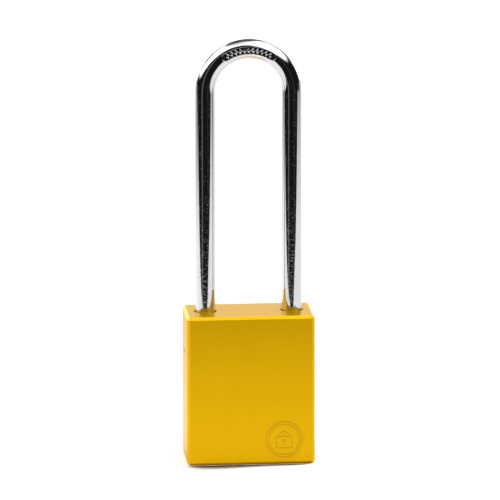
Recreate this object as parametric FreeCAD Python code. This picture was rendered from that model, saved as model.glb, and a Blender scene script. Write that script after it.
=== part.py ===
import FreeCAD, Part
import math
import os

# Safety padlock: a solid aluminium case, a long round shackle and a six-pin lock cylinder.
# Millimetres. X runs right, Y back and Z up; the origin is under the middle of the case.
# The shackle is closed and the lock is open, with its plug turned so that the balls are free to
# drop inwards. The heel leg is at -X. The toe leg, at +X, leaves the case when the lock opens.

# Case
CASE_WIDTH = 38.0
CASE_DEPTH = 19.0
CASE_HEIGHT = 45.0
EDGE_BEVEL = 0.8
BORE_MOUTH_BEVEL = 0.15

# Shackle
ROD_R = 3.0
LEG_X = 12.85
SHACKLE_CLEARANCE = 76.0
TOE_END_Z = 31.5
KNOB_Z = 13.0
KNOB_HEIGHT = 3.2
NECK_R = 2.3
ROD_END_BEVEL = 0.5
PANEL_HALF_WIDTH = 1.2
PANEL_HALF_ANGLE = 32.5
PANEL_FLOOR_Y = -2.5
PANEL_MARKS = 11
MARK_STEP_ANGLE = 5.9
MARK_HEIGHT = 0.3

# Shackle bores
BORE_R = 3.3
HEEL_BORE_FLOOR_Z = 3.0
TOE_BORE_FLOOR_Z = 28.0

# Locking balls, in notches on the inner sides of the legs
BALL_R = 3.0
BALL_Z = 38.0
BALL_OPEN_X = 6.6
BALL_SHUT_X = 8.25
NOTCH_R = 3.1
CHANNEL_R = 3.06

# Heel stop pin and lifting spring
STOP_PIN_R = 1.0
STOP_PIN_Z = 33.1
STOP_PIN_TIP_X = -15.35
STOP_PIN_RECESS = 0.15
LIFT_WIRE_R = 0.35
LIFT_COIL_R = 2.45
LIFT_TURNS = 9

# Lock cylinder
SHELL_R = 7.0
SHELL_FACE_Z = 0.5
SHELL_TOP_Z = 24.0
STACK_HALF_WIDTH = 3.4
STACK_END_X = 15.4
STACK_CORNER_R = 1.0
CAVITY_GAP = 0.06
PLUG_R = 5.5
PLUG_GAP = 0.05
FLANGE_R = 6.2
FLANGE_HEIGHT = 0.8
PLUG_TOP_Z = 25.6
CLIP_GROOVE_R = 4.55
CLIP_Z = 24.1
CLIP_HEIGHT = 0.6
CLIP_R = 6.3
CLIP_MOUTH_ANGLE = 70.0
TANG_LENGTH = 6.0
TANG_WIDTH = 2.4
TANG_TOP_Z = 28.4
TANG_GAP = 0.05
KEYWAY_TOP_Z = 23.5

# Pin stacks
PIN_COUNT = 6
FIRST_PIN_Z = 4.0
PIN_PITCH = 3.1
PIN_R = 1.25
PIN_HOLE_R = 1.3
KEY_PIN_LENGTHS = (3.6, 4.3, 3.9, 4.7, 3.3, 4.0)
KEY_PIN_TOP = 5.35
PIN_HOLE_FLOOR = -0.6
DRIVER_LENGTH = 4.0
DRIVER_START_X = 5.62
SPOOL_PINS = (2, 5)
COVER_X = 14.65
COVER_THICKNESS = 0.6
COVER_HALF_WIDTH = 1.8
COVER_BOTTOM_Z = 2.0
COVER_TOP_Z = 22.0
PIN_WIRE_R = 0.15
PIN_COIL_R = 1.0
PIN_TURNS = 7

# Set screw that holds the lock cylinder in the case
SCREW_R = 1.98
SCREW_HOLE_R = 2.02
SCREW_BOTTOM_Z = 24.1
SCREW_TOP_Z = 27.7
DOG_R = 1.25
DOG_HOLE_R = 1.3
DOG_BOTTOM_Z = 21.9
HEX_FLATS = 2.0
HEX_DEPTH = 1.8

# Cam and its chamber
CLIP_CHAMBER_R = 6.9
CLIP_CHAMBER_TOP_Z = 26.6
CAM_CHAMBER_R = 5.6
CAM_CHAMBER_TOP_Z = 41.65
WASHER_Z = 25.75
WASHER_HEIGHT = 0.9
WASHER_HOLE_R = 3.6
WASHER_R = 5.4
HUB_R = 5.5
HUB_BOTTOM_Z = 26.8
CAM_HALF_HEIGHT = 3.5
CAM_BALL_GAP = 0.05
CAM_POINTS_PER_QUARTER = 12
PIVOT_R = 2.0
PIVOT_TOP_Z = 42.7
PIVOT_HOLE_R = 2.05
PIVOT_HOLE_TOP_Z = 42.9

# Round emblem engraved low on the front face
EMBLEM_X = 9.8
EMBLEM_Z = 7.6
EMBLEM_RINGS = (5.4, 4.6)
LINE_WIDTH = 0.24
ENGRAVING_DEPTH = 0.12

BOW_Z = CASE_HEIGHT + SHACKLE_CLEARANCE - (LEG_X - ROD_R)
FRONT_Y = -CASE_DEPTH / 2
LEFT_X = -CASE_WIDTH / 2
X_AXIS = FreeCAD.Vector(1, 0, 0)
Y_AXIS = FreeCAD.Vector(0, 1, 0)
Z_AXIS = FreeCAD.Vector(0, 0, 1)


def vec(x, y, z):
    return FreeCAD.Vector(x, y, z)


def rod(radius, start, end):
    """A cylinder between two points on its axis."""
    along = end - start
    return Part.makeCylinder(radius, along.Length, start, along)


def upright(radius, bottom, top, x=0.0, y=0.0):
    return rod(radius, vec(x, y, bottom), vec(x, y, top))


def block(x, y, z):
    """A box from its (low, high) pair along each axis."""
    size = (x[1] - x[0], y[1] - y[0], z[1] - z[0])
    return Part.makeBox(*size, vec(x[0], y[0], z[0]))


def turned(outline, base, direction):
    """A solid of revolution: outline is (height, radius) pairs, from the axis round to the axis."""
    points = [vec(radius, 0, height) for height, radius in outline]
    face = Part.Face(Part.makePolygon(points + points[:1]))
    solid = face.revolve(vec(0, 0, 0), Z_AXIS, 360)
    turn = FreeCAD.Rotation(Z_AXIS, direction)
    solid.Placement = FreeCAD.Placement(base, turn)
    return solid


def bevelled_rod(radius, length, bevel, base, direction):
    """A rod with both end edges bevelled."""
    outline = [
        (0, 0),
        (0, radius - bevel),
        (bevel, radius),
        (length - bevel, radius),
        (length, radius - bevel),
        (length, 0),
    ]
    return turned(outline, base, direction)


def joined(first, others):
    """One solid from several that touch or overlap."""
    return first.fuse(others).removeSplitter()


def coil(wire_r, coil_r, length, turns, base, direction):
    """An open helical spring that fills length along direction, from base."""
    rise = length - 2 * wire_r
    path = Part.makeHelix(rise / turns, rise, coil_r)
    start = path.Edges[0].valueAt(path.Edges[0].FirstParameter)
    heading = path.Edges[0].tangentAt(path.Edges[0].FirstParameter)
    section = Part.Wire(Part.makeCircle(wire_r, start, heading))
    solid = Part.Wire(path.Edges).makePipeShell([section], True, True)
    solid.translate(vec(0, 0, wire_r))
    turn = FreeCAD.Rotation(Z_AXIS, direction)
    solid.Placement = FreeCAD.Placement(base, turn).multiply(solid.Placement)
    return solid


def pin_levels():
    return [FIRST_PIN_Z + PIN_PITCH * i for i in range(PIN_COUNT)]


def stack_outline(gap, bottom, top):
    """The lock cylinder's section, a circle with a housing for the pins on its +X side, grown by gap."""
    half = STACK_HALF_WIDTH + gap
    housing = block((0, STACK_END_X + gap), (-half, half), (bottom, top))
    corners = [e for e in housing.Edges if is_upright(e) and e.CenterOfMass.x > SHELL_R]
    housing = housing.makeFillet(STACK_CORNER_R, corners)
    return joined(upright(SHELL_R + gap, bottom, top), [housing])


def is_upright(edge):
    low, high = edge.BoundBox.ZMin, edge.BoundBox.ZMax
    return high - low > 0.9 * edge.Length


def ball_notch(side):
    """A round groove across the inner side of a leg, where its ball sits when locked."""
    x = side * BALL_SHUT_X
    return rod(NOTCH_R, vec(x, -2 * ROD_R, BALL_Z), vec(x, 2 * ROD_R, BALL_Z))


def bow():
    """The shackle's half circle, swept over from the toe leg to the heel leg."""
    section = Part.Face(Part.Wire(Part.makeCircle(ROD_R, vec(LEG_X, 0, BOW_Z), Z_AXIS)))
    return section.revolve(vec(0, 0, BOW_Z), Y_AXIS, -180)


def on_bow(angle, y, radius=LEG_X):
    """A point on the bow, at an angle from its crown towards the toe leg."""
    turn = math.radians(angle)
    return vec(radius * math.sin(turn), y, BOW_Z + radius * math.cos(turn))


def panel():
    """The tool that sinks a long round-ended panel into the front of the bow."""
    front = -ROD_R - 1
    start = on_bow(PANEL_HALF_ANGLE, front, LEG_X - PANEL_HALF_WIDTH)
    strip = Part.makePolygon([
        start,
        on_bow(PANEL_HALF_ANGLE, front, LEG_X + PANEL_HALF_WIDTH),
        on_bow(PANEL_HALF_ANGLE, PANEL_FLOOR_Y, LEG_X + PANEL_HALF_WIDTH),
        on_bow(PANEL_HALF_ANGLE, PANEL_FLOOR_Y, LEG_X - PANEL_HALF_WIDTH),
        start,
    ])
    sweep = Part.Face(strip).revolve(vec(0, 0, BOW_Z), Y_AXIS, -2 * PANEL_HALF_ANGLE)
    ends = [
        rod(PANEL_HALF_WIDTH, on_bow(a, front), on_bow(a, PANEL_FLOOR_Y))
        for a in (-PANEL_HALF_ANGLE, PANEL_HALF_ANGLE)
    ]
    return joined(sweep, ends)


def panel_mark(angle):
    """One raised lozenge on the panel's floor; its neighbours make a plain row of them."""
    half_long = 0.85
    half_wide = 0.42
    base_y = PANEL_FLOOR_Y + 0.1
    corners = [vec(0, base_y, half_long), vec(half_wide, base_y, 0)]
    corners += [vec(0, base_y, -half_long), vec(-half_wide, base_y, 0)]
    face = Part.Face(Part.makePolygon(corners + corners[:1]))
    mark = face.extrude(vec(0, -MARK_HEIGHT - 0.1, 0))
    mark.rotate(vec(0, 0, 0), Y_AXIS, angle)
    mark.translate(on_bow(angle, 0))
    return mark


def shackle():
    toe_length = BOW_Z - TOE_END_Z
    toe_outline = [
        (0, 0), (0, ROD_R - ROD_END_BEVEL), (ROD_END_BEVEL, ROD_R), (toe_length, ROD_R), (toe_length, 0),
    ]
    toe = turned(toe_outline, vec(LEG_X, 0, TOE_END_Z), Z_AXIS)
    neck_top = BALL_Z - NOTCH_R - 0.6 - KNOB_Z
    heel_length = BOW_Z - KNOB_Z
    heel_outline = [
        (0, 0), (0, ROD_R - ROD_END_BEVEL), (ROD_END_BEVEL, ROD_R), (KNOB_HEIGHT - 0.2, ROD_R),
        (KNOB_HEIGHT, ROD_R - 0.2), (KNOB_HEIGHT, NECK_R), (neck_top, NECK_R), (neck_top, ROD_R),
        (heel_length, ROD_R), (heel_length, 0),
    ]
    heel = turned(heel_outline, vec(-LEG_X, 0, KNOB_Z), Z_AXIS)
    whole = joined(bow(), [toe, heel]).cut([ball_notch(1), ball_notch(-1), panel()])
    first = -(PANEL_MARKS - 1) / 2 * MARK_STEP_ANGLE
    marks = [panel_mark(first + MARK_STEP_ANGLE * i) for i in range(PANEL_MARKS)]
    return whole.fuse(marks)


def shackle_bore(x, floor):
    """One leg's bore, with a fine bevel at its mouth."""
    outline = [
        (0, 0),
        (0, BORE_R),
        (CASE_HEIGHT - floor - BORE_MOUTH_BEVEL, BORE_R),
        (CASE_HEIGHT - floor + 1, BORE_R + 1 + BORE_MOUTH_BEVEL),
        (CASE_HEIGHT - floor + 1, 0),
    ]
    return turned(outline, vec(x, 0, floor), Z_AXIS)


def engraved_line(points):
    """A line of LINE_WIDTH through points on the emblem, each (x, z) from its centre."""
    tools = []
    for (x1, z1), (x2, z2) in zip(points, points[1:]):
        length = math.hypot(x2 - x1, z2 - z1)
        half = LINE_WIDTH / 2
        bar = block((-half, length + half), (0, 2 * ENGRAVING_DEPTH), (-half, half))
        bar.rotate(vec(0, 0, 0), Y_AXIS, -math.degrees(math.atan2(z2 - z1, x2 - x1)))
        bar.translate(vec(EMBLEM_X + x1, FRONT_Y - ENGRAVING_DEPTH, EMBLEM_Z + z1))
        tools.append(bar)
    return tools


def emblem_ring(radius, x=EMBLEM_X, z=EMBLEM_Z):
    start = vec(x, FRONT_Y - ENGRAVING_DEPTH, z)
    end = vec(x, FRONT_Y + ENGRAVING_DEPTH, z)
    inner = rod(radius - LINE_WIDTH / 2, start, end)
    return rod(radius + LINE_WIDTH / 2, start, end).cut(inner)


def emblem():
    """Tools for two thin rings around a plain pictogram of a padlock."""
    tools = [emblem_ring(radius) for radius in EMBLEM_RINGS]
    body_width, body_low, body_high, bow_r = 4.6, -2.6, 0.9, 1.5
    half = body_width / 2
    body = [(-half, body_low), (half, body_low), (half, body_high), (-half, body_high), (-half, body_low)]
    tools += engraved_line(body)
    arch = emblem_ring(bow_r, z=EMBLEM_Z + body_high)
    centre = (EMBLEM_X - half, EMBLEM_X + half)
    above = block(centre, (FRONT_Y - 1, FRONT_Y + 1), (EMBLEM_Z + body_high, EMBLEM_Z + 5))
    tools.append(arch.common(above))
    tools += engraved_line([(0, -1.6), (0, -0.7)])
    tools.append(emblem_ring(0.4, z=EMBLEM_Z - 0.45))
    return tools


def case():
    half_width, half_depth = CASE_WIDTH / 2, CASE_DEPTH / 2
    blank = block((-half_width, half_width), (-half_depth, half_depth), (0, CASE_HEIGHT))
    blank = blank.makeChamfer(EDGE_BEVEL, blank.Edges)
    tools = [
        stack_outline(CAVITY_GAP, -1, SHELL_TOP_Z),
        upright(CLIP_CHAMBER_R, SHELL_TOP_Z - 1, CLIP_CHAMBER_TOP_Z),
        upright(CAM_CHAMBER_R, SHELL_TOP_Z - 1, CAM_CHAMBER_TOP_Z),
        upright(PIVOT_HOLE_R, CAM_CHAMBER_TOP_Z - 1, PIVOT_HOLE_TOP_Z),
        rod(CHANNEL_R, vec(-LEG_X, 0, BALL_Z), vec(LEG_X, 0, BALL_Z)),
        shackle_bore(-LEG_X, HEEL_BORE_FLOOR_Z),
        shackle_bore(LEG_X, TOE_BORE_FLOOR_Z),
        upright(SCREW_HOLE_R, SHELL_TOP_Z - 1, TOE_BORE_FLOOR_Z + 1, LEG_X),
        rod(STOP_PIN_R, vec(LEFT_X - 1, 0, STOP_PIN_Z), vec(-LEG_X - 2, 0, STOP_PIN_Z)),
    ]
    return blank.cut(tools).cut(emblem())


def heel_stop_pin():
    start = LEFT_X + STOP_PIN_RECESS
    length = STOP_PIN_TIP_X - start
    return bevelled_rod(STOP_PIN_R - 0.01, length, 0.15, vec(start, 0, STOP_PIN_Z), X_AXIS)


def shackle_spring():
    gap = 0.05
    base = vec(-LEG_X, 0, HEEL_BORE_FLOOR_Z + gap)
    length = KNOB_Z - HEEL_BORE_FLOOR_Z - 2 * gap
    return coil(LIFT_WIRE_R, LIFT_COIL_R, length, LIFT_TURNS, base, Z_AXIS)


def cylinder_shell():
    """The brass lock body: plug bore, pin chambers, a recess for their cover and the screw's hole."""
    body = stack_outline(0, SHELL_FACE_Z, SHELL_TOP_Z)
    tools = [
        upright(PLUG_R + PLUG_GAP, SHELL_FACE_Z - 1, SHELL_TOP_Z + 1),
        upright(FLANGE_R + PLUG_GAP, SHELL_FACE_Z - 1, SHELL_FACE_Z + FLANGE_HEIGHT + PLUG_GAP),
        upright(DOG_HOLE_R, DOG_BOTTOM_Z - 0.3, SHELL_TOP_Z + 1, LEG_X),
        block(
            (COVER_X - 0.05, STACK_END_X + 1),
            (-COVER_HALF_WIDTH - 0.05, COVER_HALF_WIDTH + 0.05),
            (COVER_BOTTOM_Z - 0.05, COVER_TOP_Z + 0.05),
        ),
    ]
    tools += [rod(PIN_HOLE_R, vec(PLUG_R - 0.5, 0, z), vec(COVER_X, 0, z)) for z in pin_levels()]
    return body.cut(tools)


def spring_cover():
    strip = block(
        (COVER_X, COVER_X + COVER_THICKNESS),
        (-COVER_HALF_WIDTH, COVER_HALF_WIDTH),
        (COVER_BOTTOM_Z, COVER_TOP_Z),
    )
    outer = [e for e in strip.Edges if e.CenterOfMass.x > COVER_X + 0.9 * COVER_THICKNESS]
    return strip.makeChamfer(0.15, outer)


def retaining_screw():
    """A dog-point set screw with a hex socket, reached through the open toe bore."""
    body_z = SCREW_BOTTOM_Z - DOG_BOTTOM_Z
    length = SCREW_TOP_Z - DOG_BOTTOM_Z
    outline = [
        (0, 0), (0, DOG_R - 0.2), (0.2, DOG_R), (body_z, DOG_R), (body_z, SCREW_R - 0.35),
        (body_z + 0.35, SCREW_R), (length - 0.25, SCREW_R), (length, SCREW_R - 0.25), (length, 0),
    ]
    solid = turned(outline, vec(LEG_X, 0, DOG_BOTTOM_Z), Z_AXIS)
    corner_r = HEX_FLATS / 2 / math.cos(math.radians(30))
    turns = [math.radians(60 * i) for i in range(7)]
    bottom = SCREW_TOP_Z - HEX_DEPTH
    corners = [vec(LEG_X + corner_r * math.cos(t), corner_r * math.sin(t), bottom) for t in turns]
    socket = Part.Face(Part.makePolygon(corners)).extrude(vec(0, 0, HEX_DEPTH + 1))
    return solid.cut(socket)


def keyway():
    """The tool for the key slot, open at the plug's front, with a ward on each side."""
    half, ward = 1.0, 0.4
    points = [
        (-half, -FLANGE_R - 1), (half, -FLANGE_R - 1), (half, -3.4), (ward, -3.1), (ward, -2.2),
        (half, -1.9), (half, 2.6), (-half, 2.6), (-half, 0.5), (-ward, 0.2), (-ward, -0.7), (-half, -1.0),
    ]
    corners = [vec(x, y, SHELL_FACE_Z - 1) for x, y in points]
    profile = Part.Face(Part.makePolygon(corners + corners[:1]))
    return profile.extrude(vec(0, 0, KEYWAY_TOP_Z - SHELL_FACE_Z + 1))


def plug():
    """The key plug, turned so that its pins point to +Y, a quarter turn from the shell's."""
    body = upright(PLUG_R, SHELL_FACE_Z, PLUG_TOP_Z)
    flange = upright(FLANGE_R, SHELL_FACE_Z, SHELL_FACE_Z + FLANGE_HEIGHT)
    tang_low = PLUG_TOP_Z - 0.5
    tang = block(
        (-TANG_LENGTH / 2, TANG_LENGTH / 2), (-TANG_WIDTH / 2, TANG_WIDTH / 2), (tang_low, TANG_TOP_Z)
    )
    groove_low, groove_high = CLIP_Z - 0.05, CLIP_Z + CLIP_HEIGHT + 0.05
    groove = upright(PLUG_R + 1, groove_low, groove_high)
    groove = groove.cut(upright(CLIP_GROOVE_R, groove_low, groove_high))
    holes = [rod(PIN_HOLE_R, vec(0, PIN_HOLE_FLOOR, z), vec(0, PLUG_R + 1, z)) for z in pin_levels()]
    return joined(body, [flange, tang]).cut([groove, keyway()] + holes)


def plug_clip():
    """A C-ring in the plug's groove, open towards -X."""
    ring = upright(CLIP_R, CLIP_Z, CLIP_Z + CLIP_HEIGHT)
    ring = ring.cut(upright(CLIP_GROOVE_R + 0.05, CLIP_Z - 1, CLIP_Z + 2))
    reach = 2 * CLIP_R
    spread = reach * math.tan(math.radians(CLIP_MOUTH_ANGLE / 2))
    corners = [vec(0, 0, CLIP_Z - 1), vec(-reach, -spread, CLIP_Z - 1), vec(-reach, spread, CLIP_Z - 1)]
    mouth = Part.Face(Part.makePolygon(corners + corners[:1])).extrude(vec(0, 0, 3))
    return ring.cut(mouth)


def thrust_washer():
    ring = upright(WASHER_R, WASHER_Z, WASHER_Z + WASHER_HEIGHT)
    return ring.cut(upright(WASHER_HOLE_R, WASHER_Z - 1, WASHER_Z + 2))


def ball_distance(angle):
    """How far out the cam holds a ball that it meets at angle, in degrees from its valley."""
    from_valley = abs((angle + 90) % 180 - 90)
    return BALL_OPEN_X + (BALL_SHUT_X - BALL_OPEN_X) * from_valley / 90


def cam_radius(angle):
    """The cam's edge at angle: it just clears the ball wherever the ball meets it."""
    clear_r = BALL_R + CAM_BALL_GAP
    nearest = ball_distance(angle) - clear_r
    for step in range(-60, 61):
        aside = step / 2
        distance = ball_distance(angle + aside)
        offset = distance * math.sin(math.radians(aside))
        if abs(offset) < clear_r:
            depth = math.sqrt(clear_r ** 2 - offset ** 2)
            nearest = min(nearest, distance * math.cos(math.radians(aside)) - depth)
    return nearest


def locking_cam():
    """The cam between the balls: hub with a slot for the plug's tang, two-lobed head and pivot."""
    hub_top = BALL_Z - CAM_HALF_HEIGHT
    head_top = BALL_Z + CAM_HALF_HEIGHT
    points = []
    for i in range(4 * CAM_POINTS_PER_QUARTER):
        angle = 90.0 * i / CAM_POINTS_PER_QUARTER
        turn = math.radians(angle)
        radius = cam_radius(angle)
        points.append(vec(radius * math.cos(turn), radius * math.sin(turn), hub_top - 0.5))
    outline = Part.BSplineCurve()
    outline.interpolate(Points=points, PeriodicFlag=True)
    edge = Part.Wire(outline.toShape())
    head = Part.Face(edge).extrude(vec(0, 0, head_top - hub_top + 0.5))
    pivot = upright(PIVOT_R, head_top - 0.5, PIVOT_TOP_Z)
    half_long, half_wide = TANG_LENGTH / 2 + TANG_GAP, TANG_WIDTH / 2 + TANG_GAP
    slot = block((-half_long, half_long), (-half_wide, half_wide), (HUB_BOTTOM_Z - 1, TANG_TOP_Z + 0.2))
    return joined(upright(HUB_R, HUB_BOTTOM_Z, hub_top), [head, pivot]).cut(slot)


def ball(side):
    return Part.makeSphere(BALL_R, vec(side * BALL_OPEN_X, 0, BALL_Z))


def key_pin(level, length):
    """A pin with a cone tip, in the plug. Its round end points to +Y, level with the plug."""
    outline = [(0, 0), (0, 0.35), (0.9, PIN_R), (length - 0.25, PIN_R), (length, PIN_R - 0.25), (length, 0)]
    return turned(outline, vec(0, KEY_PIN_TOP - length, level), Y_AXIS)


def driver_pin(level, spool):
    """A pin in the shell, resting on the plug. A spool pin has a waist."""
    base = vec(DRIVER_START_X, 0, level)
    if not spool:
        return bevelled_rod(PIN_R, DRIVER_LENGTH, 0.2, base, X_AXIS)
    waist_r, low, high = 0.9, 0.9, 2.9
    outline = [
        (0, 0), (0, PIN_R - 0.2), (0.2, PIN_R), (low, PIN_R), (low, waist_r), (high, waist_r),
        (high, PIN_R), (DRIVER_LENGTH - 0.2, PIN_R), (DRIVER_LENGTH, PIN_R - 0.2), (DRIVER_LENGTH, 0),
    ]
    return turned(outline, base, X_AXIS)


def pin_spring(level):
    start = DRIVER_START_X + DRIVER_LENGTH + 0.03
    base = vec(start, 0, level)
    return coil(PIN_WIRE_R, PIN_COIL_R, COVER_X - 0.05 - start, PIN_TURNS, base, X_AXIS)


def build():
    parts = {
        "case": case(),
        "shackle": shackle(),
        "heel_stop_pin": heel_stop_pin(),
        "shackle_spring": shackle_spring(),
        "cylinder_shell": cylinder_shell(),
        "spring_cover": spring_cover(),
        "retaining_screw": retaining_screw(),
        "plug": plug(),
        "plug_clip": plug_clip(),
        "thrust_washer": thrust_washer(),
        "locking_cam": locking_cam(),
        "toe_ball": ball(1),
        "heel_ball": ball(-1),
    }
    for number, level in enumerate(pin_levels(), 1):
        parts[f"key_pin_{number}"] = key_pin(level, KEY_PIN_LENGTHS[number - 1])
        parts[f"driver_pin_{number}"] = driver_pin(level, number in SPOOL_PINS)
        parts[f"pin_spring_{number}"] = pin_spring(level)
    return parts


os.makedirs("parts", exist_ok=True)
for name, shape in build().items():
    if not shape.isValid() or len(shape.Solids) != 1:
        raise ValueError(f"{name} has {len(shape.Solids)} solids, valid: {shape.isValid()}")
    print(f"{name}: {shape.Volume:.2f} mm3")
    shape.Solids[0].exportStep(f"parts/{name}.step")
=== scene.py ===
import math

import bmesh
import bpy
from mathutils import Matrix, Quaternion, Vector


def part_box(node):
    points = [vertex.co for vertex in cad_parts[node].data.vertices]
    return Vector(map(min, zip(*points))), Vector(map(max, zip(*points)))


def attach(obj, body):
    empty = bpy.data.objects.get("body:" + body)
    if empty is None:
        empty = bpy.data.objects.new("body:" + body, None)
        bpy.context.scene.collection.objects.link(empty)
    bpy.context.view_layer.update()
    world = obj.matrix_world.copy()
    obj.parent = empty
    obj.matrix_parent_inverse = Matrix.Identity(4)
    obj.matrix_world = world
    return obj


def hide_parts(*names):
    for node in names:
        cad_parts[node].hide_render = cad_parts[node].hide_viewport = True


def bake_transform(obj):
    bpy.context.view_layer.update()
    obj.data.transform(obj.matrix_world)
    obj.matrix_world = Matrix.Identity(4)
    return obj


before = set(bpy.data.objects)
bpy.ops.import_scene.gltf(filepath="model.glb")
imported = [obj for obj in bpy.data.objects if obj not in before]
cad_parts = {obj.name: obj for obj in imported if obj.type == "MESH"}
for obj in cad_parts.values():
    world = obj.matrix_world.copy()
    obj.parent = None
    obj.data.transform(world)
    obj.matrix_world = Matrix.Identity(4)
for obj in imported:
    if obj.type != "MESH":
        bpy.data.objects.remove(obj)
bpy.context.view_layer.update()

# Safety padlock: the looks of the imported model. Metres, in the model's own frame.
# The case, lock cylinder, pins and balls are the model's own meshes with better finishes. The
# shackle and the springs are made here at a finer grain and stand in for the model's.

# ---------------------------------------------------------------- sizes, from the frame
MM = 0.001
CASE_FRONT_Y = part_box("case")[0].y
rod_low, rod_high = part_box("shackle")
HALF_LEG_SPACING = 12.85 * MM
ROD_R = (rod_high.x - rod_low.x) / 2 - HALF_LEG_SPACING
LEG_X = rod_high.x - ROD_R
BOW_Z = rod_high.z - LEG_X - ROD_R
HEEL_END_Z = rod_low.z

# The parts of the shackle inside the case, and the panel on its bow
TOE_END_Z = 31.5 * MM
ROD_END_BEVEL = 0.5 * MM
KNOB_TOP_Z = HEEL_END_Z + 3.2 * MM
KNOB_EDGE_BEVEL = 0.2 * MM
NECK_R = 2.3 * MM
NECK_TOP_Z = 34.3 * MM
BALL_Z = 38.0 * MM
NOTCH_X = 8.25 * MM
NOTCH_R = 3.1 * MM
PANEL_HALF_WIDTH = 1.2 * MM
PANEL_HALF_ANGLE = math.radians(32.5)
PANEL_FLOOR_Y = -2.5 * MM
# (how much wider than the panel, Y) of the loops of the panel's wall, from outside to its floor
PANEL_WALL = [
    (0.10 * MM, -ROD_R - 1 * MM),
    (0.04 * MM, -ROD_R),
    (-0.04 * MM, PANEL_FLOOR_Y - 0.10 * MM),
    (-0.12 * MM, PANEL_FLOOR_Y),
]
MARK_COUNT = 11
MARK_STEP = math.radians(5.9)
MARK_HALF_WIDTH = 0.60 * MM
MARK_HALF_LENGTH = 0.98 * MM
MARK_HEIGHT = 0.24 * MM
MARK_ROOT = 0.1 * MM

# The springs' wire radius, turns and closed turns at each end, and the rise of a closed turn in
# wire radii
LIFT_SPRING = (0.35 * MM, 9, 1)
PIN_SPRING = (0.15 * MM, 7, 1)
CLOSED_PITCH = 2.1
PIN_NUMBERS = range(1, 7)

# How finely the round shapes are cut
ROUND_STEPS = 96
BOW_STEPS = 128
BEVEL_STEPS = 6
TOE_LEVELS = 12
HEEL_LEVELS = 10
PANEL_END_STEPS = 16
PANEL_SIDE_STEPS = 48
COIL_STEPS = 40
WIRE_STEPS = 14


# ---------------------------------------------------------------- mesh helpers
def mesh_object(name, verts, faces):
    mesh = bpy.data.meshes.new(name)
    mesh.from_pydata([tuple(v) for v in verts], [], faces)
    mesh.validate()
    obj = bpy.data.objects.new(name, mesh)
    bpy.context.scene.collection.objects.link(obj)
    return obj


def lofted(name, rings):
    """A closed solid through rings of points that all have the same count, capped at both ends."""
    count = len(rings[0])
    verts = [p for ring in rings for p in ring]
    faces = []
    for r in range(len(rings) - 1):
        for i in range(count):
            j = (i + 1) % count
            low, high = r * count, (r + 1) * count
            faces.append((low + i, low + j, high + j, high + i))
    faces.append(tuple(reversed(range(count))))
    faces.append(tuple(range((len(rings) - 1) * count, len(rings) * count)))
    return mesh_object(name, verts, faces)


def outward(obj):
    """Turns every face of a closed solid outwards."""
    work = bmesh.new()
    work.from_mesh(obj.data)
    bmesh.ops.recalc_face_normals(work, faces=work.faces)
    work.to_mesh(obj.data)
    work.free()
    return obj


def cut_or_join(obj, tool, operation):
    """Applies one boolean with the tool, then removes the tool."""
    mod = obj.modifiers.new("boolean", "BOOLEAN")
    mod.object = tool
    mod.operation = operation
    mod.solver = "EXACT"
    graph = bpy.context.evaluated_depsgraph_get()
    made = bpy.data.meshes.new_from_object(obj.evaluated_get(graph))
    obj.modifiers.clear()
    obj.data = made
    bpy.data.objects.remove(tool)


# ---------------------------------------------------------------- the shackle
def circle(centre, across, radius):
    """A ring of points about centre, in the plane of across and the Y axis."""
    depth = Vector((0, 1, 0))
    turns = [2 * math.pi * i / ROUND_STEPS for i in range(ROUND_STEPS)]
    return [centre + radius * (math.cos(t) * across + math.sin(t) * depth) for t in turns]


def rounded_end(end_z, bevel, radius):
    """(z, radius) stations round a leg's end edge, from the end upwards."""
    turns = [math.pi / 2 * i / BEVEL_STEPS for i in range(BEVEL_STEPS + 1)]
    return [(end_z + bevel * (1 - math.cos(t)), radius - bevel * (1 - math.sin(t))) for t in turns]


def toe_stations():
    """(z, radius) up the toe leg."""
    stations = rounded_end(TOE_END_Z, ROD_END_BEVEL, ROD_R)
    rise = BOW_Z - stations[-1][0]
    return stations + [(stations[-1][0] + rise * i / TOE_LEVELS, ROD_R) for i in range(1, TOE_LEVELS)]


def heel_stations():
    """(z, radius) up the heel leg: its knob, the stop neck and the plain rod."""
    stations = rounded_end(HEEL_END_Z, ROD_END_BEVEL, ROD_R)
    stations += [
        (KNOB_TOP_Z - KNOB_EDGE_BEVEL, ROD_R),
        (KNOB_TOP_Z, ROD_R - KNOB_EDGE_BEVEL),
        (KNOB_TOP_Z, NECK_R),
        (NECK_TOP_Z, NECK_R),
        (NECK_TOP_Z, ROD_R),
    ]
    rise = BOW_Z - NECK_TOP_Z
    return stations + [(NECK_TOP_Z + rise * i / HEEL_LEVELS, ROD_R) for i in range(1, HEEL_LEVELS)]


def shackle_blank():
    """The bent rod: up the toe leg, over the bow and down the heel leg."""
    rings = []
    for z, radius in toe_stations():
        rings.append(circle(Vector((LEG_X, 0, z)), Vector((1, 0, 0)), radius))
    for i in range(BOW_STEPS + 1):
        turn = math.pi * i / BOW_STEPS
        across = Vector((math.cos(turn), 0, math.sin(turn)))
        rings.append(circle(Vector((0, 0, BOW_Z)) + LEG_X * across, across, ROD_R))
    for z, radius in reversed(heel_stations()):
        rings.append(circle(Vector((-LEG_X, 0, z)), Vector((-1, 0, 0)), radius))
    return outward(lofted("shackle_rod", rings))


def on_bow(angle, y, radius):
    """A point on the bow, at an angle from its crown towards the toe leg."""
    return Vector((radius * math.sin(angle), y, BOW_Z + radius * math.cos(angle)))


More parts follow.
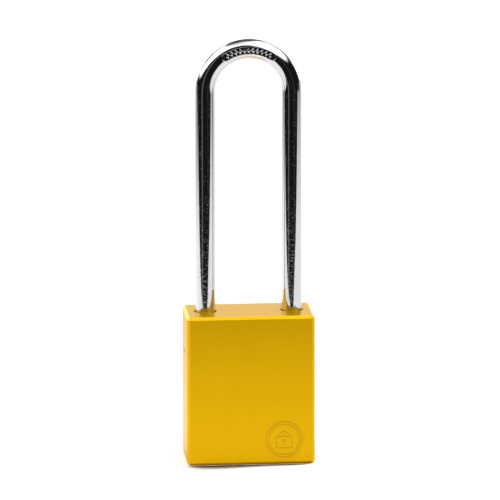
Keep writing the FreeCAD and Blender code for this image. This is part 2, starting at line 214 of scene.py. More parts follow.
def panel_outline(half_width, y):
    """The panel's round-ended outline at a depth y."""
    points = []
    for i in range(PANEL_SIDE_STEPS + 1):
        angle = PANEL_HALF_ANGLE * (2 * i / PANEL_SIDE_STEPS - 1)
        points.append(on_bow(angle, y, LEG_X + half_width))
    points += panel_end(1, half_width, y)
    for i in range(PANEL_SIDE_STEPS + 1):
        angle = PANEL_HALF_ANGLE * (1 - 2 * i / PANEL_SIDE_STEPS)
        points.append(on_bow(angle, y, LEG_X - half_width))
    points += panel_end(-1, half_width, y)
    return points


def panel_end(side, half_width, y):
    """The points strictly inside one round end: side 1 runs inwards, side -1 outwards."""
    angle = side * PANEL_HALF_ANGLE
    centre = on_bow(angle, y, LEG_X)
    outwards = Vector((math.sin(angle), 0, math.cos(angle)))
    along = Vector((math.cos(angle), 0, -math.sin(angle)))
    points = []
    for i in range(1, PANEL_END_STEPS):
        turn = math.pi * i / PANEL_END_STEPS
        points.append(centre + side * half_width * (math.cos(turn) * outwards + math.sin(turn) * along))
    return points


def panel_tool():
    """Sinks the panel, with draft on its wall and a soft inner edge."""
    rings = [panel_outline(PANEL_HALF_WIDTH + wider, y) for wider, y in PANEL_WALL]
    return outward(lofted("panel_tool", rings))


def lozenge(angle, half_wide, half_long, y):
    """One diamond's corners at an angle on the bow."""
    centre = on_bow(angle, y, LEG_X)
    outwards = Vector((math.sin(angle), 0, math.cos(angle)))
    along = Vector((math.cos(angle), 0, -math.sin(angle)))
    return [
        centre + half_long * outwards,
        centre + half_wide * along,
        centre - half_long * outwards,
        centre - half_wide * along,
    ]


def panel_marks():
    """A row of raised hollow lozenges on the panel's floor, each a closed ring with sloping sides."""
    verts, faces = [], []
    low_y, foot_y, top_y = PANEL_FLOOR_Y + MARK_ROOT, PANEL_FLOOR_Y, PANEL_FLOOR_Y - MARK_HEIGHT
    # the section's loops, as shares of the outline: up the outer slope, then down the inner one
    section = [(1.0, low_y), (1.0, foot_y), (0.74, top_y), (0.60, top_y), (0.30, foot_y), (0.25, low_y)]
    for number in range(MARK_COUNT):
        angle = MARK_STEP * (number - (MARK_COUNT - 1) / 2)
        first = len(verts)
        for share, y in section:
            verts += lozenge(angle, MARK_HALF_WIDTH * share, MARK_HALF_LENGTH * share, y)
        for k in range(len(section)):
            a, b = first + 4 * k, first + 4 * ((k + 1) % len(section))
            for i in range(4):
                j = (i + 1) % 4
                faces.append((a + i, a + j, b + j, b + i))
    return outward(mesh_object("panel_marks", verts, faces))


def notch_tool(side):
    """The round groove across a leg's inner side, for its ball."""
    rings = []
    for y in (-2 * ROD_R, 2 * ROD_R):
        turns = [2 * math.pi * i / ROUND_STEPS for i in range(ROUND_STEPS)]
        centre = Vector((side * NOTCH_X, y, BALL_Z))
        rings.append([centre + NOTCH_R * Vector((math.cos(t), 0, math.sin(t))) for t in turns])
    return outward(lofted("notch_tool", rings))


def rod_normal(point):
    """(normal, distance from the rod's centre line) at a point on or near the rod."""
    if point.z > BOW_Z:
        flat = Vector((point.x, 0, point.z - BOW_Z))
        centre = Vector((0, 0, BOW_Z)) + flat.normalized() * LEG_X
    else:
        centre = Vector((math.copysign(LEG_X, point.x), 0, point.z))
    away = point - centre
    return away.normalized(), away.length


def smooth_rod(obj):
    """Gives the rod's faces the true round surface's normals, and leaves crisp edges elsewhere."""
    mesh = obj.data
    mesh.shade_smooth()
    mesh.set_sharp_from_angle(angle=math.radians(32))
    mesh.update()
    tolerance = 0.002 * MM
    normals = [Vector(n.vector) for n in mesh.corner_normals]
    for face in mesh.polygons:
        exact = [rod_normal(mesh.vertices[mesh.loops[i].vertex_index].co) for i in face.loop_indices]
        facing = rod_normal(face.center)[0].dot(face.normal)
        if facing > 0.98 and all(abs(distance - ROD_R) < tolerance for _, distance in exact):
            for i, (normal, _) in zip(face.loop_indices, exact):
                normals[i] = normal
    mesh.normals_split_custom_set([tuple(n) for n in normals])


def add_rod_coordinates(obj):
    """A map for the plating's marks: how far along the rod, and how far round it, in metres."""
    mesh = obj.data
    layer = mesh.uv_layers.new(name="rod")
    for loop in mesh.loops:
        point = mesh.vertices[loop.vertex_index].co
        if point.z > BOW_Z:
            sweep = math.atan2(point.x, point.z - BOW_Z)
            along = sweep * LEG_X
            aside = math.hypot(point.x, point.z - BOW_Z) - LEG_X
        else:
            side = math.copysign(1, point.x)
            along = side * (LEG_X * math.pi / 2 + BOW_Z - point.z)
            aside = abs(point.x) - LEG_X
        layer.data[loop.index].uv = (along, ROD_R * math.atan2(aside, -point.y))


def shackle():
    obj = shackle_blank()
    cut_or_join(obj, notch_tool(1), "DIFFERENCE")
    cut_or_join(obj, notch_tool(-1), "DIFFERENCE")
    cut_or_join(obj, panel_tool(), "DIFFERENCE")
    cut_or_join(obj, panel_marks(), "UNION")
    add_rod_coordinates(obj)
    smooth_rod(obj)
    obj.data.materials.clear()
    obj.data.materials.append(chrome())
    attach(obj, "shackle")
    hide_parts("shackle")


# ---------------------------------------------------------------- springs
def coil(name, node, axis, wire_r, turns, dead_turns):
    """A compression spring in a CAD spring's box: dead_turns lie closed at each end, the rest open."""
    low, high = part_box(node)
    middle = (low + high) / 2
    length = (high - low)[axis] - 2 * wire_r
    turns_of_axes = (axis, (axis + 1) % 3, (axis + 2) % 3)
    along, aside, upward = [Vector((1 if i == k else 0 for i in range(3))) for k in turns_of_axes]
    coil_r = (high - low)[(axis + 1) % 3] / 2 - wire_r
    start = middle - along * length / 2
    closed_rise = CLOSED_PITCH * wire_r
    open_rise = (length - 2 * dead_turns * closed_rise) / (turns - 2 * dead_turns)
    rings = []
    for i in range(turns * COIL_STEPS + 1):
        turned = i / COIL_STEPS
        low_turns = min(turned, dead_turns)
        high_turns = max(turned - (turns - dead_turns), 0)
        open_turns = turned - low_turns - high_turns
        rise = (low_turns + high_turns) * closed_rise + open_turns * open_rise
        angle = 2 * math.pi * turned
        out = math.cos(angle) * aside + math.sin(angle) * upward
        centre = start + along * rise + coil_r * out
        wire = [2 * math.pi * k / WIRE_STEPS for k in range(WIRE_STEPS)]
        rings.append([centre + wire_r * (math.cos(w) * out + math.sin(w) * along) for w in wire])
    obj = outward(lofted(name, rings))
    obj.data.shade_smooth()
    obj.data.set_sharp_from_angle(angle=math.radians(40))
    return obj


def springs():
    finish = spring_steel()
    lift = coil("lifting_spring", "shackle_spring", 2, *LIFT_SPRING)
    lift.data.materials.append(finish)
    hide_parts("shackle_spring")
    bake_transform(lift)
    for number in PIN_NUMBERS:
        node = f"pin_spring_{number}"
        spring = coil(f"stack_spring_{number}", node, 0, *PIN_SPRING)
        spring.data.materials.append(finish)
        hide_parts(node)
        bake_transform(spring)


# ---------------------------------------------------------------- material helpers
class Surface:
    """A Principled material and short ways to add procedural detail to it. Coordinates are metres."""

    def __init__(self, name, colour, roughness, metallic=1.0):
        self.material = bpy.data.materials.new(name)
        self.material.use_nodes = True
        self.tree = self.material.node_tree
        self.shader = self.tree.nodes["Principled BSDF"]
        self.set("Base Color", (*colour, 1))
        self.set("Roughness", roughness)
        self.set("Metallic", metallic)
        self.place = self.node("ShaderNodeTexCoord").outputs["Object"]
        self.normal = None

    def set(self, socket, value):
        self.shader.inputs[socket].default_value = value

    def node(self, kind, **settings):
        made = self.tree.nodes.new(kind)
        for key, value in settings.items():
            setattr(made, key, value)
        return made

    def link(self, source, target):
        self.tree.links.new(source, target)

    def stretched(self, scale, source=None):
        mapping = self.node("ShaderNodeMapping", vector_type="POINT")
        mapping.inputs["Scale"].default_value = scale
        self.link(source or self.place, mapping.inputs["Vector"])
        return mapping.outputs["Vector"]

    def noise(self, scale, detail=3.0, vector=None, distortion=0.0):
        made = self.node("ShaderNodeTexNoise")
        made.inputs["Scale"].default_value = scale
        made.inputs["Detail"].default_value = detail
        made.inputs["Distortion"].default_value = distortion
        self.link(vector or self.place, made.inputs["Vector"])
        return made.outputs["Fac"]

    def cells(self, scale, vector=None):
        """(distance to the cell's point, the cell's random colour)."""
        made = self.node("ShaderNodeTexVoronoi")
        made.inputs["Scale"].default_value = scale
        self.link(vector or self.place, made.inputs["Vector"])
        return made.outputs["Distance"], made.outputs["Color"]

    def ramp(self, source, low, high, start, end):
        """source mapped from low..high to start..end, and held there beyond."""
        made = self.node("ShaderNodeMapRange", clamp=True)
        for socket, value in zip(("From Min", "From Max", "To Min", "To Max"), (low, high, start, end)):
            made.inputs[socket].default_value = value
        self.link(source, made.inputs["Value"])
        return made.outputs["Result"]

    def maths(self, operation, first, second):
        made = self.node("ShaderNodeMath", operation=operation)
        for socket, value in zip(made.inputs, (first, second)):
            if isinstance(value, (int, float)):
                socket.default_value = value
            else:
                self.link(value, socket)
        return made.outputs["Value"]

    def mix(self, share, first, second):
        """A colour between two colours, or between a colour socket and a colour."""
        made = self.node("ShaderNodeMix", data_type="RGBA")
        self.link(share, made.inputs["Factor"])
        for socket, value in ((made.inputs[6], first), (made.inputs[7], second)):
            if isinstance(value, tuple):
                socket.default_value = (*value, 1)
            else:
                self.link(value, socket)
        return made.outputs[2]

    def bump(self, height, depth, strength=1.0):
        """Adds a bump of height 0..1 times depth metres, on top of the earlier bumps."""
        made = self.node("ShaderNodeBump")
        made.inputs["Strength"].default_value = strength
        made.inputs["Distance"].default_value = depth
        self.link(height, made.inputs["Height"])
        if self.normal:
            self.link(self.normal, made.inputs["Normal"])
        self.normal = made.outputs["Normal"]

    def edges(self, radius, samples=6):
        """About 0 on flat stretches and up to 1 on edges, from normals rounded over radius metres."""
        rounded = self.node("ShaderNodeBevel", samples=samples)
        rounded.inputs["Radius"].default_value = radius
        flat = self.node("ShaderNodeNewGeometry").outputs["Normal"]
        dot = self.node("ShaderNodeVectorMath", operation="DOT_PRODUCT")
        self.link(rounded.outputs["Normal"], dot.inputs[0])
        self.link(flat, dot.inputs[1])
        return self.ramp(dot.outputs["Value"], 0.995, 0.93, 0.0, 1.0)

    def hollow_shade(self, reach, samples=8):
        """About 1 in the bottom of engraved lines and bores, 0 in the open: the mask for painted shade."""
        occlusion = self.node("ShaderNodeAmbientOcclusion", samples=samples, only_local=True)
        occlusion.inputs["Distance"].default_value = reach
        return self.ramp(occlusion.outputs["AO"], 0.55, 0.95, 1.0, 0.0)

    def finish(self, colour=None, roughness=None):
        if colour:
            self.link(colour, self.shader.inputs["Base Color"])
        if roughness:
            self.link(roughness, self.shader.inputs["Roughness"])
        if self.normal:
            self.link(self.normal, self.shader.inputs["Normal"])
        return self.material


# ---------------------------------------------------------------- materials
def anodised_gold():
    """Fine-blasted aluminium under gold anodising: satin, with a faint grain, paler edges that are part
    wear and part painted highlight, and painted shade in its engraved lines and bores.
    """
    s = Surface("anodised_gold", (0.81, 0.465, 0.001), 0.30, 0.72)
    s.set("Specular IOR Level", 0.16)
    s.set("Specular Tint", (1.0, 0.90, 0.72, 1))
    broad = s.noise(70, 2.0)
    grain = s.noise(5200, 2.0)
    colour = s.mix(s.ramp(broad, 0.3, 0.7, 0, 1), (0.81, 0.452, 0.0008), (0.84, 0.475, 0.001))
    colour = s.mix(s.ramp(grain, 0.3, 0.7, 0.0, 0.55), colour, (0.71, 0.39, 0.0008))
    # paler edges: part wear, part painted highlight
    worn = s.maths("MULTIPLY", s.edges(0.14 * MM), s.ramp(s.noise(900, 3.0), 0.35, 0.65, 0.2, 0.6))
    colour = s.mix(worn, colour, (0.90, 0.62, 0.06))
    # painted shade: engraved lines and bores darkened towards dark brown
    colour = s.mix(s.maths("MULTIPLY", s.hollow_shade(0.20 * MM), 0.85), colour, (0.36, 0.16, 0.001))
    roughness = s.ramp(grain, 0.3, 0.7, 0.285, 0.34)
    s.bump(grain, 0.020 * MM, 0.5)
    return s.finish(colour, roughness)


def chrome():
    """Bright plating over a drawn rod: faint draw lines along it, and many pinpoint pits."""
    s = Surface("chrome_plate", (0.70, 0.70, 0.71), 0.03)
    uv = s.node("ShaderNodeUVMap", uv_map="rod").outputs["UV"]
    lines = s.noise(1.0, 4.0, s.stretched((90, 5200, 1), uv))
    mottle = s.noise(420, 3.0)
    distance, cell = s.cells(3600)
    pick = s.node("ShaderNodeSeparateColor")
    s.link(cell, pick.inputs["Color"])
    axes = s.node("ShaderNodeSeparateXYZ")
    s.link(uv, axes.inputs["Vector"])
    # few pits on the bow, many towards the feet
    rarity = s.ramp(s.maths("ABSOLUTE", axes.outputs["X"], 0), 0.045, 0.085, 0.90, 0.42)
    chosen = s.maths("GREATER_THAN", pick.outputs["Red"], rarity)
    spot = s.ramp(distance, 0.12, 0.34, 1.0, 0.0)
    pits = s.maths("MULTIPLY", chosen, spot)
    roughness = s.maths("ADD", s.ramp(mottle, 0.3, 0.7, 0.02, 0.04), s.maths("MULTIPLY", pits, 0.20))
    colour = s.mix(s.ramp(lines, 0.35, 0.65, 0.0, 0.35), (0.71, 0.71, 0.72), (0.63, 0.63, 0.65))
    s.bump(lines, 0.0010 * MM, 0.2)
    s.bump(s.noise(1900, 2.0), 0.0012 * MM, 0.5)
    s.bump(pits, -0.022 * MM, 0.6)
    return s.finish(colour, roughness)


def turned_metal(name, colour, dark, roughness, ring_scale, depth, axis="Z"):
    """Lathe-turned metal: fine rings across the turning axis, with some tarnish."""
    s = Surface(name, colour, roughness)
    rings = s.node("ShaderNodeTexWave", wave_type="BANDS", bands_direction=axis)
    rings.inputs["Scale"].default_value = ring_scale
    rings.inputs["Distortion"].default_value = 1.5
    rings.inputs["Detail Scale"].default_value = 2.0
    s.link(s.place, rings.inputs["Vector"])
    stain = s.noise(520, 4.0, distortion=0.4)
    fine = s.noise(6500, 2.0)
    mixed = s.mix(s.ramp(stain, 0.42, 0.68, 0.0, 0.75), colour, dark)
    worn = s.edges(0.10 * MM)
    mixed = s.mix(s.maths("MULTIPLY", worn, 0.5), mixed, tuple(min(1.0, c * 1.2) for c in colour))
    stained = s.ramp(stain, 0.4, 0.7, roughness, roughness + 0.14)
    rough = s.maths("ADD", stained, s.ramp(fine, 0.3, 0.7, -0.03, 0.03))
    s.bump(rings.outputs["Fac"], depth, 0.5)
    s.bump(fine, depth * 0.7, 0.4)
    return s.finish(mixed, rough)


def ground_metal(name, colour, dark, roughness, stretch, depth):
    """Ground, rolled or drawn metal: fine lines the way stretch is smallest, with light staining."""
    s = Surface(name, colour, roughness)
    lines = s.noise(1.0, 4.0, s.stretched(stretch))
    stain = s.noise(480, 4.0)
    mixed = s.mix(s.ramp(stain, 0.45, 0.7, 0.0, 0.7), colour, dark)
    mixed = s.mix(s.ramp(lines, 0.3, 0.7, 0.0, 0.25), mixed, dark)
    rough = s.ramp(lines, 0.3, 0.7, roughness - 0.05, roughness + 0.08)
    s.bump(lines, depth, 0.5)
    return s.finish(mixed, rough)


def spring_steel():
    """Drawn spring wire."""
    bright, dark = (0.56, 0.56, 0.58), (0.30, 0.29, 0.29)
    return ground_metal("spring_wire", bright, dark, 0.26, (3000, 3000, 700), 0.004 * MM)


def polished_steel():
    """Hardened ball steel: mirror bright, with a few faint rolling marks."""
    s = Surface("ball_steel", (0.66, 0.66, 0.68), 0.06)
    marks = s.noise(1500, 5.0, distortion=2.0)
    colour = s.mix(s.ramp(marks, 0.45, 0.62, 0.0, 0.5), (0.68, 0.68, 0.70), (0.50, 0.50, 0.52))
    s.bump(marks, 0.001 * MM, 0.3)
    return s.finish(colour, s.ramp(marks, 0.4, 0.65, 0.05, 0.14))


def black_oxide():
    """Oil-blackened steel: soft brown-black, bare on its worn edges."""
    s = Surface("black_oxide", (0.05, 0.05, 0.055), 0.42)
    blotch = s.noise(700, 4.0)
    colour = s.mix(s.ramp(blotch, 0.35, 0.7, 0.0, 1.0), (0.035, 0.036, 0.042), (0.085, 0.075, 0.065))
    colour = s.mix(s.maths("MULTIPLY", s.edges(0.12 * MM), 0.6), colour, (0.42, 0.41, 0.40))
    s.bump(s.noise(4200, 3.0), 0.006 * MM, 0.4)
    return s.finish(colour, s.ramp(blotch, 0.3, 0.7, 0.34, 0.5))


def sintered_steel():
    """Pressed and sintered steel: grey, slightly porous, paler on its edges where the balls rub."""
    s = Surface("sintered_steel", (0.44, 0.43, 0.42), 0.38)
    pores, _ = s.cells(3800)
    blotch = s.noise(600, 4.0)
    colour = s.mix(s.ramp(pores, 0.05, 0.30, 0.6, 0.0), (0.46, 0.45, 0.44), (0.16, 0.15, 0.15))
    colour = s.mix(s.ramp(blotch, 0.4, 0.7, 0.0, 0.5), colour, (0.30, 0.28, 0.26))
    colour = s.mix(s.maths("MULTIPLY", s.edges(0.15 * MM), 0.5), colour, (0.62, 0.61, 0.60))
    s.bump(s.ramp(pores, 0.0, 0.3, 0.0, 1.0), 0.008 * MM, 0.5)
    return s.finish(colour, s.ramp(blotch, 0.3, 0.7, 0.30, 0.44))


def dress_nodes():
    """Gives every CAD node that stays in view its finish."""
    brass, plug_brass, pin_brass = (0.80, 0.56, 0.20), (0.83, 0.61, 0.26), (0.86, 0.64, 0.27)
    brass_dark = (0.55, 0.34, 0.11)
    shell = turned_metal("shell_brass", brass, brass_dark, 0.26, 900, 0.006 * MM)
    plug = turned_metal("plug_brass", plug_brass, brass_dark, 0.22, 1300, 0.004 * MM)
    key_pins = turned_metal("key_pin_brass", pin_brass, brass_dark, 0.18, 2600, 0.003 * MM, "Y")
    drivers = turned_metal("driver_pin_brass", pin_brass, brass_dark, 0.18, 2600, 0.003 * MM, "X")
    grey, grey_dark = (0.50, 0.50, 0.52), (0.28, 0.26, 0.25)
    clip = ground_metal("clip_steel", grey, grey_dark, 0.28, (4000, 300, 4000), 0.005 * MM)
    pale, pale_dark = (0.62, 0.62, 0.63), (0.36, 0.34, 0.33)
    washer = ground_metal("washer_steel", pale, pale_dark, 0.24, (300, 4500, 4500), 0.004 * MM)
    rolled, rolled_dark = (0.60, 0.60, 0.62), (0.38, 0.37, 0.36)
    strip = ground_metal("strip_steel", rolled, rolled_dark, 0.30, (4000, 4000, 200), 0.005 * MM)
    dull, dull_dark = (0.30, 0.27, 0.22), (0.12, 0.10, 0.08)
    stop = ground_metal("stop_pin_steel", dull, dull_dark, 0.40, (400, 5000, 5000), 0.006 * MM)
    finishes = {
        "case": anodised_gold(),
        "cylinder_shell": shell,
        "plug": plug,
        "plug_clip": clip,
        "thrust_washer": washer,
        "spring_cover": strip,
        "heel_stop_pin": stop,
        "retaining_screw": black_oxide(),
        "locking_cam": sintered_steel(),
        "toe_ball": polished_steel(),
    }
    finishes["heel_ball"] = finishes["toe_ball"]
    for number in PIN_NUMBERS:
        finishes[f"key_pin_{number}"] = key_pins
        finishes[f"driver_pin_{number}"] = drivers
    for node, material in finishes.items():
        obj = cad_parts[node]
        obj.data.materials.clear()
        obj.data.materials.append(material)


# ---------------------------------------------------------------- studio
# A white table under a wide softbox, in a dark room: the chrome and the anodising show little else.
# Azimuths are in degrees from the front (-Y), positive towards +X; elevations are in degrees.
# A tuple of four is a ramp: the input's low and high, then the values there. Reach is the distance
# from the padlock along the table, in metres.
FLOOR_HALF = 3.0
FLOOR_Z = -0.02 * MM
FLOOR_ALBEDO = 0.88
# What the camera itself sees of the floor and of the world
SHOWN_ALBEDO = 1.10
SHOWN_WORLD = 1.05

# Painted light on the table as the chrome sees it: brighter close by, and brighter still on the left
LIGHT_BY_REACH = (0.05, 0.19, 0.70, 0.65)
LIFT_BY_AZIMUTH = (-110, -40, 0.17, 0.0)
LIFT_BY_REACH = (0.2, 0.5, 1.0, 0.4)
LIFT_BACK_LIMIT = (-170, -150, 0.0, 1.0)
TABLE_FRONT_Y = -0.192
TABLE_FRONT_SOFTNESS = 0.005
TABLE_LEFT_CORNER_X = -0.08
TABLE_LEFT_SLOPE = 0.42
TABLE_RIGHT_STEP = (0.02, 0.17, 0.0, 0.035)
TABLE_FADE_START = (-0.1, 0.1, 0.30, 0.28)
TABLE_FADE_END = (-0.1, 0.1, 0.60, 0.80)
TABLE_FAR_LIGHT = 0.08
TABLE_BACK_EDGES = ((-140, -95), (80, 125))

# The shadow under the front edge, only for the camera. It is full where this share of the floor's
# view is open (SHADOW_SHUT) and gone at SHADOW_OPEN, which falls from left to right.
SHADOW_COLOUR = (0.006, 0.002, 0.0005)
SHADOW_REACH = 12 * MM
SHADOW_SHUT = 0.56
SHADOW_OPEN = (-0.017, 0.010, 0.99, 0.66)
SHADOW_STRENGTH = 0.97
SHADOW_BACK_FADE = 0.2 * MM

# The softbox's lower edge: low on the left, highest at the front, a little lower on the right
SOFTBOX_LEFT_EDGE = (-92, -22, 10, 55)
SOFTBOX_RIGHT_EDGE = (0, 38, 55, 24)
SOFTBOX_RIGHT_RISE = (45, 100, 0, 7)
SOFTBOX_EDGE_SOFTNESS = 5
SOFTBOX_LIGHT = 1.9
SOFTBOX_TOP_START, SOFTBOX_TOP_END = 60, 74
SOFTBOX_TOP_LIGHT = (-0.15, 0.15, 1.05, 1.5)

# The white sweep behind the table, and the grey wall high behind it. The wall lies where both of
# BACK_WALL_SIDES point, and the low wall fills in under it.
SWEEP_EDGES = ((-160, -120), (103, 138))
SWEEP_LIGHT = (12, 30, 2.9, 0.0)
BACK_WALL_LIGHT = 0.12
BACK_WALL_SIDES = ((0.87, -0.07, 0.49), (-0.88, 0.47, 0.0))
BACK_WALL_SOFTNESS = 0.08
BACK_WALL_REARWARD = (100, 130, 0.0, 1.0)
LOW_WALL_REARWARD = (115, 135, 0.0, 1.0)
LOW_WALL_TOP = (30, 36, 1.0, 0.0)
BACK_WALL_BOTTOM = (9, 15, 0.0, 1.0)
BACK_WALL_TOP = (74, 84, 1.0, 0.0)

# The dark room, and the (azimuth, half width, light) of the dim stands in it
ROOM_LIGHT = 0.010
STANDS = [(-37.0, 9.0, 0.17), (27.0, 9.0, 0.03)]

OVERHEAD_SIZE = (0.9, 0.7)
OVERHEAD_PLACE = (0.08, -0.12, 0.9)
OVERHEAD_POWER = 6

CAMERA_PLACE = (-0.2110, -2.500, 0.6240)
CAMERA_YAW = math.radians(4.835)
CAMERA_PITCH = math.radians(12.600)
CAMERA_ROLL = math.radians(-0.05)
CAMERA_LENS_MM = 624.6


class Tree:
    """Short ways to build number arithmetic in a node tree."""

    def __init__(self, tree):
        self.tree = tree
        self.tree.nodes.clear()

    def node(self, kind, **settings):
        made = self.tree.nodes.new(kind)
        for key, value in settings.items():
            setattr(made, key, value)
        return made

    def feed(self, socket, value):
        if isinstance(value, (int, float)):
            socket.default_value = value
        elif isinstance(value, tuple):
            socket.default_value = (*value, 1)
        else:
            self.tree.links.new(value, socket)

    def maths(self, operation, first, second=0.0):
        made = self.node("ShaderNodeMath", operation=operation)
        self.feed(made.inputs[0], first)
        self.feed(made.inputs[1], second)
        return made.outputs["Value"]

    def ramp(self, source, low, high, start, end):
        """source mapped smoothly from low..high to start..end, and held there beyond."""
        made = self.node("ShaderNodeMapRange", clamp=True, interpolation_type="SMOOTHSTEP")
        self.feed(made.inputs["Value"], source)
        for socket, value in zip(("From Min", "From Max", "To Min", "To Max"), (low, high, start, end)):
            self.feed(made.inputs[socket], value)
        return made.outputs["Result"]

    def mix(self, share, first, second):
        made = self.node("ShaderNodeMix", data_type="FLOAT")
        self.feed(made.inputs["Factor"], share)
        self.feed(made.inputs[2], first)
        self.feed(made.inputs[3], second)
        return made.outputs[0]

    def azimuth(self, x, y):
        turned = self.maths("ARCTAN2", x, self.maths("MULTIPLY", y, -1.0))
        return self.maths("MULTIPLY", turned, 180 / math.pi)

    def back_share(self, azimuth, left_edges, right_edges):
        """1 towards the white sweep behind the table, 0 towards the dark room."""
        left = self.ramp(azimuth, *left_edges, 1.0, 0.0)
        right = self.ramp(azimuth, *right_edges, 0.0, 1.0)
        return self.maths("MAXIMUM", left, right)

    def room(self, azimuth):
        """The dark room's light, with a few dim stands in it."""
        light = ROOM_LIGHT
        for place, half_width, glow in STANDS:
            away = self.maths("ABSOLUTE", self.maths("SUBTRACT", azimuth, place))
            light = self.maths("ADD", self.ramp(away, 0.0, half_width, glow, 0.0), light)
        return light

    def side_of(self, x, y, z, facing):
        """1 on the side that facing points to, 0 on the other, of a plane through the centre."""
        parts = [self.maths("MULTIPLY", axis, share) for axis, share in zip((x, y, z), facing)]
        total = self.maths("ADD", self.maths("ADD", parts[0], parts[1]), parts[2])
        return self.ramp(total, -BACK_WALL_SOFTNESS, BACK_WALL_SOFTNESS, 0.0, 1.0)


def studio_world():
    """White where the camera looks. For all other rays, the softbox, the sweep and the dark room."""
    world = bpy.data.worlds.new("studio")
    bpy.context.scene.world = world
    world.use_nodes = True
    t = Tree(world.node_tree)
    split = t.node("ShaderNodeSeparateXYZ")
    t.feed(split.inputs["Vector"], t.node("ShaderNodeTexCoord").outputs["Generated"])
    x, y, z = split.outputs
    azimuth = t.azimuth(x, y)
    elevation = t.maths("MULTIPLY", t.maths("ARCSINE", z), 180 / math.pi)
    left_edge = t.ramp(azimuth, *SOFTBOX_LEFT_EDGE)
    right_edge = t.maths("ADD", t.ramp(azimuth, *SOFTBOX_RIGHT_EDGE), t.ramp(azimuth, *SOFTBOX_RIGHT_RISE))
    above = t.maths("SUBTRACT", elevation, t.maths("MINIMUM", left_edge, right_edge))
    top_light = t.ramp(x, *SOFTBOX_TOP_LIGHT)
    softbox = t.ramp(elevation, SOFTBOX_TOP_START, SOFTBOX_TOP_END, SOFTBOX_LIGHT, top_light)
    inside = t.ramp(above, -SOFTBOX_EDGE_SOFTNESS, SOFTBOX_EDGE_SOFTNESS, 0.0, 1.0)
    softbox = t.maths("MULTIPLY", softbox, inside)
    behind = t.back_share(azimuth, *SWEEP_EDGES)
    sweep = t.maths("MULTIPLY", behind, t.ramp(elevation, *SWEEP_LIGHT))
    light = t.maths("MAXIMUM", softbox, sweep)
    upper_side, back_side = [t.side_of(x, y, z, facing) for facing in BACK_WALL_SIDES]
    wall = t.maths("MULTIPLY", upper_side, back_side)
    rearward = t.maths("ABSOLUTE", azimuth)
    wall = t.maths("MULTIPLY", wall, t.ramp(rearward, *BACK_WALL_REARWARD))
    low_wall = t.maths("MULTIPLY", t.ramp(rearward, *LOW_WALL_REARWARD), t.ramp(elevation, *LOW_WALL_TOP))
    wall = t.maths("MAXIMUM", wall, low_wall)
    wall = t.maths("MULTIPLY", wall, t.ramp(elevation, *BACK_WALL_BOTTOM))
    wall = t.maths("MULTIPLY", wall, t.ramp(elevation, *BACK_WALL_TOP))
    light = t.mix(wall, light, BACK_WALL_LIGHT)
    light = t.maths("ADD", light, t.room(azimuth))
    path = t.node("ShaderNodeLightPath")
    background = t.node("ShaderNodeBackground")
    t.feed(background.inputs["Color"], t.mix(path.outputs["Is Camera Ray"], light, SHOWN_WORLD))
    out = t.node("ShaderNodeOutputWorld")
    t.feed(out.inputs["Surface"], background.outputs["Background"])


def contact_shadow(t, x, y):
    """How dark the floor is close to the front of what stands on it: widest at the left."""
    occlusion = t.node("ShaderNodeAmbientOcclusion", samples=24)
    occlusion.inputs["Distance"].default_value = SHADOW_REACH
    shut = t.ramp(occlusion.outputs["AO"], SHADOW_SHUT, t.ramp(x, *SHADOW_OPEN), SHADOW_STRENGTH, 0.0)
    shut = t.maths("MULTIPLY", shut, t.ramp(y, CASE_FRONT_Y, CASE_FRONT_Y + SHADOW_BACK_FADE, 1.0, 0.0))
    return t.maths("MULTIPLY", shut, t.node("ShaderNodeLightPath").outputs["Is Camera Ray"])


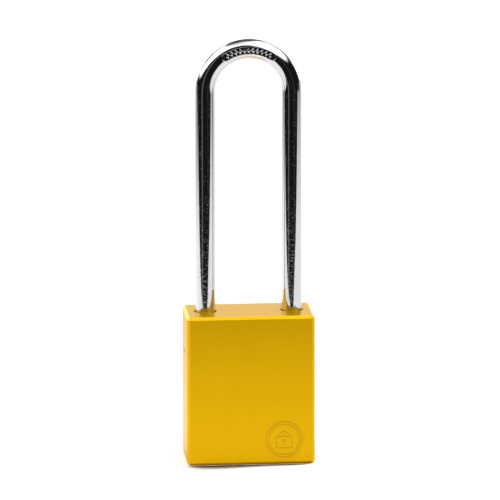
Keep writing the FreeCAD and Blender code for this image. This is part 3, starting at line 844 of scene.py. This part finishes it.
def floor_material():
    """The white table. Only reflections see its painted light, brighter close by and on the left and
    fading far off, and its edges; past them is the dark room.
    """
    material = bpy.data.materials.new("pale_floor")
    material.use_nodes = True
    t = Tree(material.node_tree)
    split = t.node("ShaderNodeSeparateXYZ")
    t.feed(split.inputs["Vector"], t.node("ShaderNodeTexCoord").outputs["Object"])
    x, y, _ = split.outputs
    azimuth = t.azimuth(x, y)
    # the front edge runs back on the left and a little forward on the right
    past_corner = t.maths("MINIMUM", t.maths("SUBTRACT", x, TABLE_LEFT_CORNER_X), 0.0)
    left = t.maths("MULTIPLY", past_corner, TABLE_LEFT_SLOPE)
    front = t.maths("ADD", t.maths("ADD", y, left), t.ramp(x, *TABLE_RIGHT_STEP))
    outer, inner = TABLE_FRONT_Y - TABLE_FRONT_SOFTNESS, TABLE_FRONT_Y + TABLE_FRONT_SOFTNESS
    inside = t.ramp(front, outer, inner, 0.0, 1.0)
    reach = t.maths("SQRT", t.maths("ADD", t.maths("MULTIPLY", x, x), t.maths("MULTIPLY", y, y)))
    fade_start, fade_end = t.ramp(x, *TABLE_FADE_START), t.ramp(x, *TABLE_FADE_END)
    # painted light, only in reflections: the table fades from bright close by to dim far off
    near = t.ramp(reach, fade_start, fade_end, 1.0, TABLE_FAR_LIGHT)
    behind = t.back_share(azimuth, *TABLE_BACK_EDGES)
    white = t.maths("MULTIPLY", inside, t.maths("MAXIMUM", near, behind))
    path = t.node("ShaderNodeLightPath")
    seen = t.mix(path.outputs["Is Glossy Ray"], 1.0, white)
    # painted light, only in reflections: the table is brighter close by and on the left
    lift = t.maths("MULTIPLY", t.ramp(azimuth, *LIFT_BY_AZIMUTH), t.ramp(reach, *LIFT_BY_REACH))
    lift = t.maths("MULTIPLY", lift, t.ramp(azimuth, *LIFT_BACK_LIMIT))
    reflected = t.maths("ADD", t.ramp(reach, *LIGHT_BY_REACH), lift)
    boost = t.mix(path.outputs["Is Glossy Ray"], FLOOR_ALBEDO, reflected)
    boost = t.mix(path.outputs["Is Camera Ray"], boost, SHOWN_ALBEDO)
    tint = t.node("ShaderNodeMix", data_type="RGBA")
    t.feed(tint.inputs["Factor"], contact_shadow(t, x, y))
    t.feed(tint.inputs[6], t.maths("MULTIPLY", seen, boost))
    t.feed(tint.inputs[7], SHADOW_COLOUR)
    matte = t.node("ShaderNodeBsdfDiffuse")
    t.feed(matte.inputs["Color"], tint.outputs[2])
    glow = t.node("ShaderNodeEmission")
    dark = t.maths("MULTIPLY", t.maths("SUBTRACT", 1.0, seen), t.room(azimuth))
    t.feed(glow.inputs["Color"], dark)
    both = t.node("ShaderNodeAddShader")
    t.feed(both.inputs[0], matte.outputs["BSDF"])
    t.feed(both.inputs[1], glow.outputs["Emission"])
    out = t.node("ShaderNodeOutputMaterial")
    t.feed(out.inputs["Surface"], both.outputs["Shader"])
    return material


def floor():
    signs = ((-1, -1), (1, -1), (1, 1), (-1, 1))
    corners = [(i * FLOOR_HALF, j * FLOOR_HALF, FLOOR_Z) for i, j in signs]
    sheet = mesh_object("floor", corners, [(0, 1, 2, 3)])
    sheet.data.materials.append(floor_material())


def overhead_light():
    """A soft fill from above. The metals show the softbox of the world instead."""
    data = bpy.data.lights.new("overhead", "AREA")
    data.shape = "RECTANGLE"
    data.size, data.size_y = OVERHEAD_SIZE
    data.energy = OVERHEAD_POWER
    obj = bpy.data.objects.new("overhead", data)
    bpy.context.scene.collection.objects.link(obj)
    obj.location = OVERHEAD_PLACE
    obj.visible_glossy = False


def camera():
    data = bpy.data.cameras.new("camera")
    data.sensor_width = 36.0
    data.lens = CAMERA_LENS_MM
    data.clip_start, data.clip_end = 0.05, 50.0
    obj = bpy.data.objects.new("camera", data)
    bpy.context.scene.collection.objects.link(obj)
    obj.location = CAMERA_PLACE
    obj.rotation_mode = "QUATERNION"
    level = Quaternion((1, 0, 0), math.pi / 2 - CAMERA_PITCH)
    turned = Quaternion((0, 0, 1), -CAMERA_YAW)
    rolled = Quaternion((0, 0, 1), CAMERA_ROLL)
    obj.rotation_quaternion = turned @ level @ rolled
    bpy.context.scene.camera = obj


def studio():
    bpy.context.scene.view_settings.view_transform = "Standard"
    studio_world()
    floor()
    overhead_light()
    camera()


# ---------------------------------------------------------------- make it
shackle()
springs()
dress_nodes()
studio()
